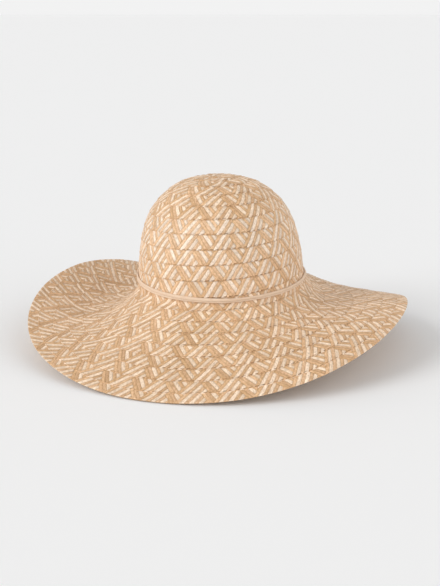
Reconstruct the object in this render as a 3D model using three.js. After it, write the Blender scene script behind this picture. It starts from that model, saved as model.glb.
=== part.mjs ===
// Floppy straw hat sewn from one long braid: a domed crown, a wide drooping brim and a narrow band.
// Millimetres, +Z up. The hat lies on a surface as it would by itself, on the low front and back of
// its brim, with the two sides standing clear.
import * as THREE from 'three';

// Head ring, where the crown meets the brim
const RING_HALF_WIDTH = 88;
const RING_HALF_LENGTH = 98;
const RING_TURN = -26;
const RING_RISE_RIGHT = 3;
const RING_RISE_BACK = 3;

// Crown
const CROWN_HEIGHT = 115;
const CROWN_SIDE_POWER = 2.4;
const CROWN_TOP_POWER = 2.75;
const CROWN_FLARE = 0.03;
const CROWN_LEAN_LEFT = 5;
const CROWN_ROWS = 11;

// Braid: its rows wind outward clockwise and end at the back of the brim. In front the brim shows
// part of the row that comes out from under the band, then whole rows, then the edge row.
const ROW_PITCH = 16;
const WALL = 1.8;
const LAP_STEP = 0.7;
const FIRST_ROW_SHARE = 0.6;
const WHOLE_ROWS = 7;
const EDGE_ROW_SHARE = 0.7;
const BRAID_END_ANGLE = 90;
const BRAID_END_TAPER = 60;

// Band around the foot of the crown
const BAND_HEIGHT = 5.6;
const BAND_THICKNESS = 1.5;

// Fit between the pieces, and the little flat where the brim touches what it lies on
const GAP = 0.3;
const TOUCH_DEPTH = 1.4;
const HEM = 1.5;

// Facets around the hat
const SEGMENTS = 72;
const SLOPE_STEPS = 48;

// Folds of the brim. Each row is one wave around the hat: how many times it goes up and down, where
// its first crest lies, and the degrees of fall that it adds at four places from the crown outward.
const FOLDS = [
  { waves: 0, crest: 0, crown: 47, third: 19, twoThirds: 9, edge: 14 },
  { waves: 1, crest: 2, crown: -2, third: -6, twoThirds: 8, edge: 14 },
  { waves: 2, crest: 0, crown: 18, third: -5, twoThirds: -18, edge: -18 },
  { waves: 2, crest: 45, crown: -14, third: 9, twoThirds: 15, edge: 14 },
  { waves: 3, crest: 0, crown: 2, third: -1, twoThirds: -4, edge: -2 },
  { waves: 3, crest: 30, crown: 3, third: 2, twoThirds: -2, edge: -2 },
];

// One more dip in the back of the brim, in degrees: where it is, how far it reaches to each side,
// and the fall that it adds at the edge
const BACK_DIP = { centre: 88, reach: 42, fall: 9 };

const STRAW = { color: 0xd9b183, roughness: 0.72, metalness: 0 };
const BAND_CLOTH = { color: 0xdcb796, roughness: 0.8, metalness: 0 };

const radians = THREE.MathUtils.degToRad;

// Angles around the hat in radians, one for each facet, 0 at the right and 90 degrees at the back
const ANGLES = Array.from({ length: SEGMENTS }, (_, i) => (2 * Math.PI * i) / SEGMENTS);

// Radius and height of the head ring, less an inset
function ringRadius(angle, inset) {
  const a = RING_HALF_WIDTH - inset;
  const b = RING_HALF_LENGTH - inset;
  const turned = angle - radians(RING_TURN);
  return (a * b) / Math.hypot(b * Math.cos(turned), a * Math.sin(turned));
}

function ringHeight(angle) {
  return RING_RISE_RIGHT * Math.cos(angle) + RING_RISE_BACK * Math.sin(angle);
}

// Point of the crown at a share of the way up its section, from 0 at the ring to 1 at the tip
function crownPoint(angle, share, inset) {
  const climb = (share * Math.PI) / 2;
  const across = Math.max(Math.cos(climb), 0) ** (2 / CROWN_SIDE_POWER);
  const up = Math.sin(climb) ** (2 / CROWN_TOP_POWER);
  const flare = 1 + CROWN_FLARE * (1 - up) ** 4;
  const radius = ringRadius(angle, inset) * across * flare;
  const height = ringHeight(angle) * (1 - up) + (CROWN_HEIGHT - inset) * up;
  const lean = -CROWN_LEAN_LEFT * up;
  return new THREE.Vector3(radius * Math.cos(angle) + lean, radius * Math.sin(angle), height);
}

// Shares of the way up at which the rows of braid begin, evenly spaced along the mean section
function crownRowShares() {
  const steps = 400;
  const lengths = [0];
  const meanRadius = (RING_HALF_WIDTH + RING_HALF_LENGTH) / 2;
  let last = new THREE.Vector2(meanRadius, 0);
  for (let i = 1; i <= steps; i += 1) {
    const climb = (i / steps) * (Math.PI / 2);
    const next = new THREE.Vector2(
      meanRadius * Math.max(Math.cos(climb), 0) ** (2 / CROWN_SIDE_POWER),
      CROWN_HEIGHT * Math.sin(climb) ** (2 / CROWN_TOP_POWER),
    );
    lengths.push(lengths[i - 1] + next.distanceTo(last));
    last = next;
  }
  const shares = [];
  for (let row = 0; row <= CROWN_ROWS; row += 1) {
    const target = (lengths[steps] * row) / CROWN_ROWS;
    const index = lengths.findIndex((length) => length >= target - 1e-9);
    shares.push(index / steps);
  }
  return shares;
}

// Width of the brim along its slope. It grows by a row with each turn of the braid, and the last
// stretch of the braid tapers off at the back.
function brimWidth(angle) {
  const turn = THREE.MathUtils.euclideanModulo(THREE.MathUtils.radToDeg(angle) - BRAID_END_ANGLE, 360);
  const taper = 1 - THREE.MathUtils.smoothstep(turn, 0, BRAID_END_TAPER);
  const rows = FIRST_ROW_SHARE + WHOLE_ROWS + EDGE_ROW_SHARE;
  return ROW_PITCH * (rows - (turn - 180) / 360 - taper);
}

// Fall of the brim in radians at an angle and a share of its width
function brimFall(angle, share) {
  const places = ['crown', 'third', 'twoThirds', 'edge'];
  const place = Math.min(Math.floor(share * 3), 2);
  const mix = share * 3 - place;
  let fall = 0;
  for (const fold of FOLDS) {
    const height = THREE.MathUtils.lerp(fold[places[place]], fold[places[place + 1]], mix);
    fall += height * Math.cos(fold.waves * (angle - radians(fold.crest)));
  }
  const aside = Math.abs(THREE.MathUtils.radToDeg(angle) - BACK_DIP.centre) / BACK_DIP.reach;
  if (aside < 1) {
    fall += BACK_DIP.fall * share * Math.cos((aside * Math.PI) / 2) ** 2;
  }
  return radians(fall);
}

// Section of the brim at one angle: distance out, height and fall at each share of its width
function brimSection(angle, shares) {
  const width = brimWidth(angle);
  const step = width / SLOPE_STEPS;
  const out = [ringRadius(angle, 0)];
  const height = [ringHeight(angle) - GAP / 2];
  for (let i = 0; i < SLOPE_STEPS; i += 1) {
    const fall = brimFall(angle, (i + 0.5) / SLOPE_STEPS);
    out.push(out[i] + step * Math.cos(fall));
    height.push(height[i] - step * Math.sin(fall));
  }
  return shares.map((share) => {
    const at = Math.min(share * SLOPE_STEPS, SLOPE_STEPS - 1e-6);
    const i = Math.floor(at);
    return {
      out: THREE.MathUtils.lerp(out[i], out[i + 1], at - i),
      height: THREE.MathUtils.lerp(height[i], height[i + 1], at - i),
      fall: brimFall(angle, share),
    };
  });
}

// Closed mesh through a list of rings. A ring is one point for each angle, or a single tip point.
function meshThroughRings(rings, joinEnds) {
  const positions = [];
  const starts = rings.map((ring) => {
    const start = positions.length / 3;
    ring.forEach((point) => positions.push(point.x, point.y, point.z));
    return start;
  });
  const index = [];
  const joinRings = (low, high) => {
    for (let i = 0; i < SEGMENTS; i += 1) {
      const j = (i + 1) % SEGMENTS;
      if (rings[high].length === 1) {
        index.push(starts[low] + i, starts[low] + j, starts[high]);
      } else if (rings[low].length === 1) {
        index.push(starts[low], starts[high] + j, starts[high] + i);
      } else {
        index.push(starts[low] + i, starts[low] + j, starts[high] + j);
        index.push(starts[low] + i, starts[high] + j, starts[high] + i);
      }
    }
  };
  for (let r = 0; r + 1 < rings.length; r += 1) {
    if (rings[r].length > 1 || rings[r + 1].length > 1) {
      joinRings(r, r + 1);
    }
  }
  if (joinEnds) {
    joinRings(rings.length - 1, 0);
  }
  const geometry = new THREE.BufferGeometry();
  geometry.setAttribute('position', new THREE.Float32BufferAttribute(positions, 3));
  geometry.setIndex(index);
  geometry.computeVertexNormals();
  return geometry;
}

// Crown: rows of braid lapped like shingles outside, a smooth hollow inside, open below
function crownGeometry() {
  const shares = crownRowShares();
  const ringAt = (share, inset) => ANGLES.map((angle) => {
    const point = crownPoint(angle, share, inset);
    point.z += GAP / 2;
    return point;
  });
  const outside = [];
  for (let row = 0; row < CROWN_ROWS; row += 1) {
    outside.push(ringAt(shares[row], 0));
    if (row < CROWN_ROWS - 1) {
      outside.push(ringAt(shares[row + 1], LAP_STEP));
    }
  }
  const outerTip = crownPoint(0, 1, 0);
  const innerTip = crownPoint(0, 1, WALL + LAP_STEP);
  const inside = shares.slice(0, CROWN_ROWS).map((share) => ringAt(share, WALL + LAP_STEP));
  return meshThroughRings([...outside, [outerTip], [innerTip], ...inside.reverse()], true);
}

// Brim: each row's outer edge lies over the next row, and the underside is smooth
function brimGeometry() {
  const sections = ANGLES.map((angle) => {
    const width = brimWidth(angle);
    const rowLines = [0];
    for (let row = WHOLE_ROWS; row >= 0; row -= 1) {
      rowLines.push(1 - ((row + EDGE_ROW_SHARE) * ROW_PITCH) / width);
    }
    const hemLine = 1 - HEM / width;
    return {
      lines: brimSection(angle, [...rowLines, 1]),
      hem: brimSection(angle, [hemLine])[0],
    };
  });
  const ringOf = (pick, depth) => ANGLES.map((angle, i) => {
    const place = pick(sections[i]);
    const out = place.out - depth * Math.sin(place.fall);
    const height = place.height - depth * Math.cos(place.fall);
    return new THREE.Vector3(out * Math.cos(angle), out * Math.sin(angle), height);
  });
  const count = sections[0].lines.length;
  const straightDown = ANGLES.map((angle) => {
    const radius = ringRadius(angle, WALL + LAP_STEP);
    const height = ringHeight(angle) - GAP / 2;
    return new THREE.Vector3(radius * Math.cos(angle), radius * Math.sin(angle), height);
  });
  const top = [];
  for (let row = 0; row < count; row += 1) {
    top.push(ringOf((section) => section.lines[row], 0));
    if (row > 0 && row < count - 1) {
      top.push(ringOf((section) => section.lines[row], LAP_STEP));
    }
  }
  const under = [];
  for (let row = 1; row < count; row += 1) {
    under.push(ringOf((section) => section.lines[row], WALL + LAP_STEP));
  }
  under.splice(count - 2, 0, ringOf((section) => section.hem, WALL + LAP_STEP));
  const rings = [straightDown, ...under, ...top.reverse()];
  const lowest = Math.min(...under.flat().map((point) => point.z));
  rings.flat().forEach((point) => {
    point.z = Math.max(point.z, lowest + TOUCH_DEPTH);
  });
  return meshThroughRings(rings, true);
}

// Band: a narrow flat cord with rounded edges, laid around the foot of the crown
function bandGeometry() {
  const soft = BAND_THICKNESS * 0.4;
  const outline = [
    { out: 0, up: soft / 2 },
    { out: soft, up: 0 },
    { out: BAND_THICKNESS - soft / 2, up: soft },
    { out: BAND_THICKNESS, up: BAND_HEIGHT / 2 },
    { out: BAND_THICKNESS - soft / 2, up: BAND_HEIGHT - soft },
    { out: soft, up: BAND_HEIGHT },
    { out: 0, up: BAND_HEIGHT - soft / 2 },
  ];
  const seat = CROWN_FLARE * RING_HALF_LENGTH + GAP;
  const rings = outline.map(({ out, up }) => ANGLES.map((angle) => {
    const radius = ringRadius(angle, 0) + seat + out;
    const height = ringHeight(angle) + GAP + up;
    return new THREE.Vector3(radius * Math.cos(angle), radius * Math.sin(angle), height);
  }));
  return meshThroughRings(rings, true);
}

function namedMesh(name, geometry, finish) {
  const mesh = new THREE.Mesh(geometry, new THREE.MeshStandardMaterial(finish));
  mesh.name = name;
  return mesh;
}

const hat = new THREE.Group();
hat.add(namedMesh('crown', crownGeometry(), STRAW));
hat.add(namedMesh('brim', brimGeometry(), STRAW));
hat.add(namedMesh('band', bandGeometry(), BAND_CLOTH));

// The origin is under the middle of the hat, on the surface that it lies on
const box = new THREE.Box3().setFromObject(hat);
const middle = box.getCenter(new THREE.Vector3());
hat.position.set(-middle.x, -middle.y, -box.min.z);
hat.updateMatrixWorld(true);

export default hat;
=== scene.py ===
"""Floppy straw hat: one long braid of pale and tan straw, wound into a crown and a wide brim.

The braid starts at the tip of the crown and winds outward, clockwise seen from above. Each row's
lower edge lies over the next row. Sizes are in metres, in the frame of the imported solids.
"""

from __future__ import annotations

import logging
import math
from dataclasses import dataclass
from enum import Enum

import bmesh
import bpy
import numpy as np
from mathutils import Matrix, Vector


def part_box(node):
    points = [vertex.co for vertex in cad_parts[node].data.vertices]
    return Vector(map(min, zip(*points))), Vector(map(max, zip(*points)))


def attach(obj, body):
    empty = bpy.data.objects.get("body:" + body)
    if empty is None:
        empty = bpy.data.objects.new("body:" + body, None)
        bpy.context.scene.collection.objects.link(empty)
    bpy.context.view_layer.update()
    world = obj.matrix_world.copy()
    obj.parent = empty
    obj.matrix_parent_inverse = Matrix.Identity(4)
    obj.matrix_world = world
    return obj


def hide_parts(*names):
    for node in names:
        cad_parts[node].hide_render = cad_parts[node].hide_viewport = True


LOG = logging.getLogger("floppy_hat")
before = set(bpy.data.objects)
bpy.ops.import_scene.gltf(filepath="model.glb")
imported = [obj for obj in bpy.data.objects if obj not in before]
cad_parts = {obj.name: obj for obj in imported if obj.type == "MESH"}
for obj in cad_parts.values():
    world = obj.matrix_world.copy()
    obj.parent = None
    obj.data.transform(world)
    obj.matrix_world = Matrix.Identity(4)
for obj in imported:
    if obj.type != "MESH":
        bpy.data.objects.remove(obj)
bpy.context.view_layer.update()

MM = 0.001
FULL_TURN = 2 * math.pi
BODY = "root"
ROW_PITCH = 16 * MM
BRAID_WALL = 2.5 * MM
BARS_MAX = 16
FRONT = (0.22, -0.975, 0.0)
WHITE = (1.0, 1.0, 1.0)
NUMBERS = {"INT": np.int32, "BOOLEAN": bool}

Colour = tuple[float, float, float]
Socket = bpy.types.NodeSocket
Thing = bpy.types.Object


class Side(Enum):
    """The two faces of the braid."""

    OUTSIDE = "outside"
    INSIDE = "inside"


class Dye(Enum):
    """The three straws that the braid is plaited from."""

    TAN = 0.0
    DUSKY = 0.5
    CREAM = 1.0


# Helpers for meshes and node trees


class NodeSheet:
    """Places nodes in a tree from left to right and joins their sockets."""

    STEP = 200.0
    FRONT_FROM = 0.58
    FRONT_FULL = 0.93

    def __init__(self, tree: bpy.types.NodeTree) -> None:
        """Starts at the left end of a shader or geometry tree."""
        self.tree = tree
        self.across = 0.0

    def add(self, kind: str, inputs: dict | None = None, **settings: object) -> bpy.types.Node:
        """Adds one node.

        Args:
            kind: The node's type.
            inputs: Values or sockets for its inputs, by name or number.
            settings: Properties of the node.

        Returns:
            The new node.
        """
        node = self.tree.nodes.new(kind)
        node.location = (self.across, 0.0)
        self.across += self.STEP
        for name, value in settings.items():
            setattr(node, name, value)
        for key, value in (inputs or {}).items():
            if isinstance(value, Socket):
                self.tree.links.new(value, node.inputs[key])
            else:
                node.inputs[key].default_value = value
        return node

    def maths(self, operation: str, *terms: object) -> Socket:
        """Adds a Math node on values or sockets and returns its result."""
        return self.add("ShaderNodeMath", dict(enumerate(terms)), operation=operation).outputs[0]

    def vector(self, operation: str, inputs: dict, output: int = 0) -> Socket:
        """Adds a Vector Math node and returns one of its results."""
        return self.add("ShaderNodeVectorMath", inputs, operation=operation).outputs[output]

    def scaled(self, value: Socket, factor: float, base: float) -> Socket:
        """Multiplies a socket by a factor and adds a base."""
        return self.maths("MULTIPLY_ADD", value, factor, base)

    def ranged(self, value: Socket, low: float, high: float, first: object = 0.0, last: object = 1.0) -> Socket:
        """Maps a socket from low and high to first and last, and no further."""
        return self.add("ShaderNodeMapRange", {0: value, 1: low, 2: high, 3: first, 4: last}).outputs[0]

    def noise(self, place: Socket, scale: float, detail: float) -> Socket:
        """Adds a noise at a place and returns its value."""
        return self.add("ShaderNodeTexNoise", {"Vector": place, "Scale": scale, "Detail": detail}).outputs[0]

    def stretched(self, detail: float, *axes: tuple[Socket, float]) -> Socket:
        """Adds a noise on up to three sockets, each with a scale of its own."""
        scaled = {number: self.maths("MULTIPLY", *axis) for number, axis in enumerate(axes)}
        return self.noise(self.add("ShaderNodeCombineXYZ", scaled).outputs[0], 1.0, detail)

    def blend(self, share: Socket, first: object, second: object) -> Socket:
        """Mixes two colours or colour sockets."""
        return self.add("ShaderNodeMix", {0: share, 6: first, 7: second}, data_type="RGBA").outputs[2]

    def place(self) -> Socket:
        """Returns the Object coordinates."""
        return self.add("ShaderNodeTexCoord").outputs["Object"]

    def attribute(self, name: str) -> Socket:
        """Returns a number stored on the mesh."""
        return self.add("ShaderNodeAttribute", attribute_name=name).outputs["Fac"]

    def mapped(self, name: str) -> tuple[Socket, Socket]:
        """Reads a map of the mesh.

        Args:
            name: The map's name.

        Returns:
            Its x and its y.
        """
        place = self.add("ShaderNodeUVMap", uv_map=name).outputs["UV"]
        split = self.add("ShaderNodeSeparateXYZ", {0: place})
        return split.outputs[0], split.outputs[1]

    def front_shade_share(self, least: float) -> Socket:
        """Tells the front of the hat from its sides and back, for painted shade that is strongest in front.

        Args:
            least: The value at the sides and the back.

        Returns:
            A value that is 1 in front.
        """
        flat = self.vector("MULTIPLY", {0: self.place(), 1: (1.0, 1.0, 0.0)})
        share = self.vector("DOT_PRODUCT", {0: self.vector("NORMALIZE", {0: flat}), 1: FRONT}, output=1)
        return self.ranged(share, self.FRONT_FROM, self.FRONT_FULL, least)

    def surface(self, height: Socket, strength: float, depth: float, **inputs: object) -> None:
        """Ends a material.

        Args:
            height: The height of its bump.
            strength: The strength of its bump.
            depth: The depth of its bump, in metres.
            inputs: The shader's other inputs, by name with _ for a space.
        """
        bump = self.add("ShaderNodeBump", {"Strength": strength, "Distance": depth, "Height": height})
        named = {name.replace("_", " "): value for name, value in inputs.items()}
        shader = self.add("ShaderNodeBsdfPrincipled", {**named, "Normal": bump.outputs[0]})
        self.add("ShaderNodeOutputMaterial", {0: shader.outputs[0]})


def new_material(name: str, colour: Colour) -> tuple[bpy.types.Material, NodeSheet]:
    """Makes an empty material and the sheet for its nodes.

    Args:
        name: The material's name.
        colour: Its colour in a plain view.

    Returns:
        The material and the sheet.
    """
    material = bpy.data.materials.new(name)
    material.use_nodes = True
    material.node_tree.nodes.clear()
    material.diffuse_color = (*colour, 1.0)
    return material, NodeSheet(material.node_tree)


def add_object(name: str, data: bpy.types.ID) -> Thing:
    """Makes an object at the origin, linked to the scene.

    Args:
        name: The object's name.
        data: Its mesh, lamp or camera.

    Returns:
        The new object.
    """
    thing = bpy.data.objects.new(name, data)
    bpy.context.scene.collection.objects.link(thing)
    return thing


def mesh_object(name: str, points: np.ndarray, faces: list[list[int]]) -> Thing:
    """Makes a smooth mesh object at the origin.

    Args:
        name: The object's name.
        points: One row of x, y, z for each vertex.
        faces: Vertex numbers of each face.

    Returns:
        The new object, linked to the scene.
    """
    mesh = bpy.data.meshes.new(name)
    mesh.from_pydata(points.tolist(), [], faces)
    mesh.polygons.foreach_set("use_smooth", np.ones(len(mesh.polygons), bool))
    mesh.update()
    return add_object(name, mesh)


def grid_faces(rows: int, columns: int, closed: bool) -> np.ndarray:
    """Quads over a grid of points numbered row by row.

    Args:
        rows: Number of rows of points.
        columns: Points in a row.
        closed: Whether the last column joins the first.

    Returns:
        Four vertex numbers for each quad.
    """
    row, column = np.meshgrid(np.arange(rows - 1), np.arange(columns if closed else columns - 1), indexing="ij")
    here, after = row * columns, (column + 1) % columns
    corners = (here + column, here + after, here + columns + after, here + columns + column)
    return np.stack([corner.ravel() for corner in corners], axis=1)


def corner_vertices(mesh: bpy.types.Mesh) -> np.ndarray:
    """Finds the vertex of each face corner.

    Args:
        mesh: The mesh.

    Returns:
        A vertex number for each corner, in the order of the faces.
    """
    found = np.empty(len(mesh.loops), np.int32)
    mesh.loops.foreach_get("vertex_index", found)
    return found


def store(mesh: bpy.types.Mesh, name: str, kind: str, domain: str, values: np.ndarray) -> None:
    """Stores one attribute on a mesh.

    Args:
        mesh: The mesh.
        name: The attribute's name.
        kind: Its data type.
        domain: Its domain.
        values: Its values, in the domain's order.
    """
    layer = mesh.attributes.new(name, kind, domain)
    key = "vector" if kind in ("FLOAT_VECTOR", "FLOAT2") else "value"
    layer.data.foreach_set(key, np.ascontiguousarray(values, dtype=NUMBERS.get(kind, np.float32)).ravel())


def stored(mesh: bpy.types.Mesh, name: str) -> np.ndarray:
    """Reads an attribute of a mesh's vertices.

    Args:
        mesh: The mesh.
        name: The attribute's name.

    Returns:
        Its values, in rows of three where they are vectors.
    """
    layer = mesh.attributes[name]
    wide = layer.data_type == "FLOAT_VECTOR"
    values = np.empty(len(layer.data) * (3 if wide else 1), NUMBERS.get(layer.data_type, np.float32))
    layer.data.foreach_get("vector" if wide else "value", values)
    return values.reshape(-1, 3) if wide else values


def store_map(mesh: bpy.types.Mesh, name: str, places: np.ndarray) -> None:
    """Stores a map on a mesh, from a place for each vertex."""
    layer = mesh.uv_layers.new(name=name)
    layer.data.foreach_set("uv", np.ascontiguousarray(places[corner_vertices(mesh)], np.float32).ravel())


def smoothstep(value: np.ndarray, low: float, high: float) -> np.ndarray:
    """Rises smoothly from 0 at low to 1 at high."""
    share = np.clip((value - low) / (high - low), 0.0, 1.0)
    return share * share * (3.0 - 2.0 * share)


def running_length(points: np.ndarray) -> np.ndarray:
    """Length along a line of points, from the first to each."""
    return np.concatenate([[0.0], np.cumsum(np.linalg.norm(np.diff(points, axis=0), axis=1))])


def finish_piece(piece: Thing, node: str) -> None:
    """Declares a finished piece: its body and the solid that it stands for.

    Args:
        piece: The finished piece.
        node: The solid that it stands for.
    """
    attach(piece, BODY)
    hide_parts(node)
    LOG.info("%s: %d faces", piece.name, len(piece.data.polygons))


# Finishes


@dataclass(frozen=True)
class Streaks:
    """A noise drawn out along each straw.

    Args:
        across: Its scale across the straw.
        along: Its scale along the straw.
        tone: Its scale from straw to straw.
        detail: Its detail.
        spread: How much light it adds where it is 1.
        base: The share of light where it is 0.
    """

    across: float
    along: float
    tone: float
    detail: float
    spread: float
    base: float


@dataclass(frozen=True)
class StrawFinish:
    """Split straw: glossy, with fine lengthwise fibres, in tan, dusky tan and cream, with painted shade at the straws'
    edges, where they tuck under and in the creases under the laps.
    """

    name: str
    tan: Colour
    dusky: Colour
    cream: Colour
    fibres: Streaks = Streaks(across=7.0, along=0.16, tone=60.0, detail=4.0, spread=0.56, base=0.72)
    blotches: Streaks = Streaks(across=1.6, along=0.12, tone=37.0, detail=2.0, spread=0.40, base=0.80)
    specks: Streaks = Streaks(across=2.8, along=0.42, tone=91.0, detail=3.0, spread=1.00, base=0.50)
    cloud_scale: float = 14.0
    cloud_spread: float = 0.20
    tone_spread: float = 0.18
    hue_spread: float = 0.014
    depth_of_colour: float = 0.35
    edge_shade: float = 0.22
    edge_power: float = 4.0
    end_shade: float = 0.40
    crease_shade: float = 0.56
    crease_from: float = 0.94
    crease_at_sides: float = 0.15
    roughness: float = 0.36
    roughness_spread: float = 0.24
    specular: float = 0.5
    bump: float = 0.9
    fibre_depth: float = 0.00006

    def material(self) -> bpy.types.Material:
        """Builds the material.

        Returns:
            A material that reads the attributes dye, tone, row and sunk and the map straw of a braid.
        """
        material, sheet = new_material(self.name, self.tan)
        dye, tone, row, sunk = (sheet.attribute(name) for name in ("dye", "tone", "row", "sunk"))
        across, along = sheet.mapped("straw")
        streaks = (self.fibres, self.blotches, self.specks)
        fibres, blotches, specks = (
            sheet.stretched(kind.detail, (across, kind.across), (along, kind.along), (tone, kind.tone))
            for kind in streaks
        )
        clouds = sheet.noise(sheet.place(), self.cloud_scale, 2.0)

        ramp = sheet.add("ShaderNodeValToRGB", {0: dye})
        stops = ramp.color_ramp.elements
        stops[0].color = (*self.tan, 1.0)
        stops[1].color = (*self.cream, 1.0)
        stops.new(Dye.DUSKY.value).color = (*self.dusky, 1.0)

        # Light and dark: straw by straw, fibre by fibre and over the whole hat, with painted shade in the crease under
        # each lap, at the straws' edges and where they tuck under
        aside = sheet.maths("ABSOLUTE", sheet.scaled(across, 2.0, -1.0))
        edge = sheet.maths("POWER", aside, self.edge_power)
        # Painted shade in the crease just under the upper row's lap edge, strongest in front
        near_lap = sheet.ranged(row, self.crease_from, 1.0)
        crease = sheet.maths("MULTIPLY", near_lap, sheet.front_shade_share(self.crease_at_sides))
        light = sheet.scaled(crease, -self.crease_shade, 1.0)
        for share in (
            sheet.scaled(tone, self.tone_spread, 1 - self.tone_spread / 2),
            sheet.scaled(clouds, self.cloud_spread, 1 - self.cloud_spread / 2),
            *(sheet.scaled(value, kind.spread, kind.base) for value, kind in zip((fibres, blotches, specks), streaks)),
            # Painted shade along each straw's edges and at its ends where it tucks under another
            sheet.scaled(edge, -self.edge_shade, 1.0),
            sheet.scaled(sunk, -self.end_shade, 1.0),
        ):
            light = sheet.maths("MULTIPLY", light, share)
        colour = sheet.add("ShaderNodeHueSaturation", {
            "Hue": sheet.scaled(blotches, self.hue_spread, 0.5 - self.hue_spread / 2),
            "Saturation": sheet.scaled(light, -self.depth_of_colour, 1 + self.depth_of_colour),
            "Value": light, "Color": ramp.outputs[0],
        }).outputs[0]
        roughness = sheet.scaled(fibres, self.roughness_spread, self.roughness)
        sheet.surface(
            fibres, self.bump, self.fibre_depth,
            Base_Color=colour, Roughness=roughness, Specular_IOR_Level=self.specular,
        )
        return material


@dataclass(frozen=True)
class PlainFibreFinish:
    """Matt fibre with a fine grain: the thread, darker in front as painted shade, and the straw that shows deep
    between the rows, in a darker tan that is partly painted shade.
    """

    name: str
    colour: Colour
    grain: float
    roughness: float = 0.85
    tone_spread: float = 0.0
    side_colour: Colour | None = None
    grain_spread: float = 0.6
    specular: float = 0.25
    bump: float = 0.6
    grain_depth: float = 0.0001

    def material(self) -> bpy.types.Material:
        """Builds the material, with its grain on Object coordinates.

        Returns:
            A material with its grain on Object coordinates, for any piece.
        """
        material, sheet = new_material(self.name, self.colour)
        grain = sheet.noise(sheet.place(), self.grain, 3.0)
        light = sheet.scaled(grain, self.grain_spread, 1 - self.grain_spread / 2)
        if self.tone_spread > 0:
            tone = sheet.scaled(sheet.attribute("tone"), 2 * self.tone_spread, 1 - self.tone_spread)
            light = sheet.maths("MULTIPLY", light, tone)
        colour = sheet.add("ShaderNodeHueSaturation", {"Value": light, "Color": (*self.colour, 1.0)}).outputs[0]
        # Painted shade: the thread keeps its dark colour in front and turns to the lighter side colour at the sides
        # and back
        if self.side_colour is not None:
            colour = sheet.blend(sheet.front_shade_share(0.0), (*self.side_colour, 1.0), colour)
        sheet.surface(
            grain, self.bump, self.grain_depth,
            Base_Color=colour, Roughness=self.roughness, Specular_IOR_Level=self.specular,
        )
        return material


@dataclass(frozen=True)
class CordFinish:
    """The band's flat cord: soft cloth with fine ribs along it, and a weft across them."""

    name: str
    colour: Colour
    shade: Colour
    ribs: tuple[float, float] = (0.10, 2.6)
    weft: tuple[float, float] = (3.2, 0.9)
    weft_height: float = 0.5
    roughness: float = 0.72
    specular: float = 0.3
    sheen: float = 0.15
    bump: float = 0.8
    rib_depth: float = 0.00012

    def material(self) -> bpy.types.Material:
        """Builds the material.

        Returns:
            A material on the map cord, whose x runs along the cord and y across, in mm.
        """
        material, sheet = new_material(self.name, self.colour)
        place = sheet.mapped("cord")
        ribs = sheet.stretched(4.0, *zip(place, self.ribs))
        weft = sheet.stretched(2.0, *zip(place, self.weft))
        height = sheet.maths("MULTIPLY_ADD", weft, self.weft_height, ribs)
        # Painted shade: the cord darkens toward its shade colour in the hollows between the ribs
        colour = sheet.blend(sheet.ranged(height, 0.5, 1.0), (*self.shade, 1.0), (*self.colour, 1.0))
        sheet.surface(
            height, self.bump, self.rib_depth, Base_Color=colour, Roughness=self.roughness,
            Specular_IOR_Level=self.specular, Sheen_Weight=self.sheen,
        )
        return material


@dataclass
class Palette:
    """The materials of the hat. The straw of the brim and the crown's top has a darker tan, as painted shade, and a
    warmer cream.
    """

    straw: bpy.types.Material
    upward_shaded: bpy.types.Material
    deep: bpy.types.Material
    thread: bpy.types.Material
    cord: bpy.types.Material

    @classmethod
    def mixed(cls) -> Palette:
        """Makes every material of the hat.

        Returns:
            The palette, filled.
        """
        straw = StrawFinish("split_straw", tan=(0.75, 0.48, 0.27), dusky=(0.71, 0.46, 0.27), cream=(0.84, 0.68, 0.535))
        # The straw of the brim and the crown's top: a darker tan as painted shade, and a warmer cream
        upward_shaded = StrawFinish(
            "upward_shaded_straw", tan=(0.71, 0.443, 0.24), dusky=(0.675, 0.425, 0.24), cream=(0.875, 0.678, 0.50),
        )
        # The straw that shows in the gaps: the straw's tan, darkened as painted shade
        deep = PlainFibreFinish("shaded_straw_between_rows", colour=(0.56, 0.345, 0.185), grain=900.0)
        # The thread: its dark brown in front is partly its own colour and partly painted shade of the laps
        thread = PlainFibreFinish(
            "sewing_thread", colour=(0.27, 0.115, 0.035), grain=2500.0, roughness=0.9, tone_spread=0.5,
            side_colour=(0.62, 0.40, 0.22),
        )
        cord = CordFinish("band_cord", colour=(0.87, 0.69, 0.53), shade=(0.70, 0.49, 0.33))
        return cls(*(finish.material() for finish in (straw, upward_shaded, deep, thread, cord)))


# The form of the hat


@dataclass(frozen=True)
class Fold:
    """One wave around the brim, and the degrees of fall that it adds at four places outward."""

    waves: int
    crest: float
    falls: tuple[float, float, float, float]


@dataclass(frozen=True)
class BackDip:
    """One more dip in the back of the brim, in degrees."""

    centre: float = 88.0
    reach: float = 42.0
    fall: float = 9.0


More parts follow.
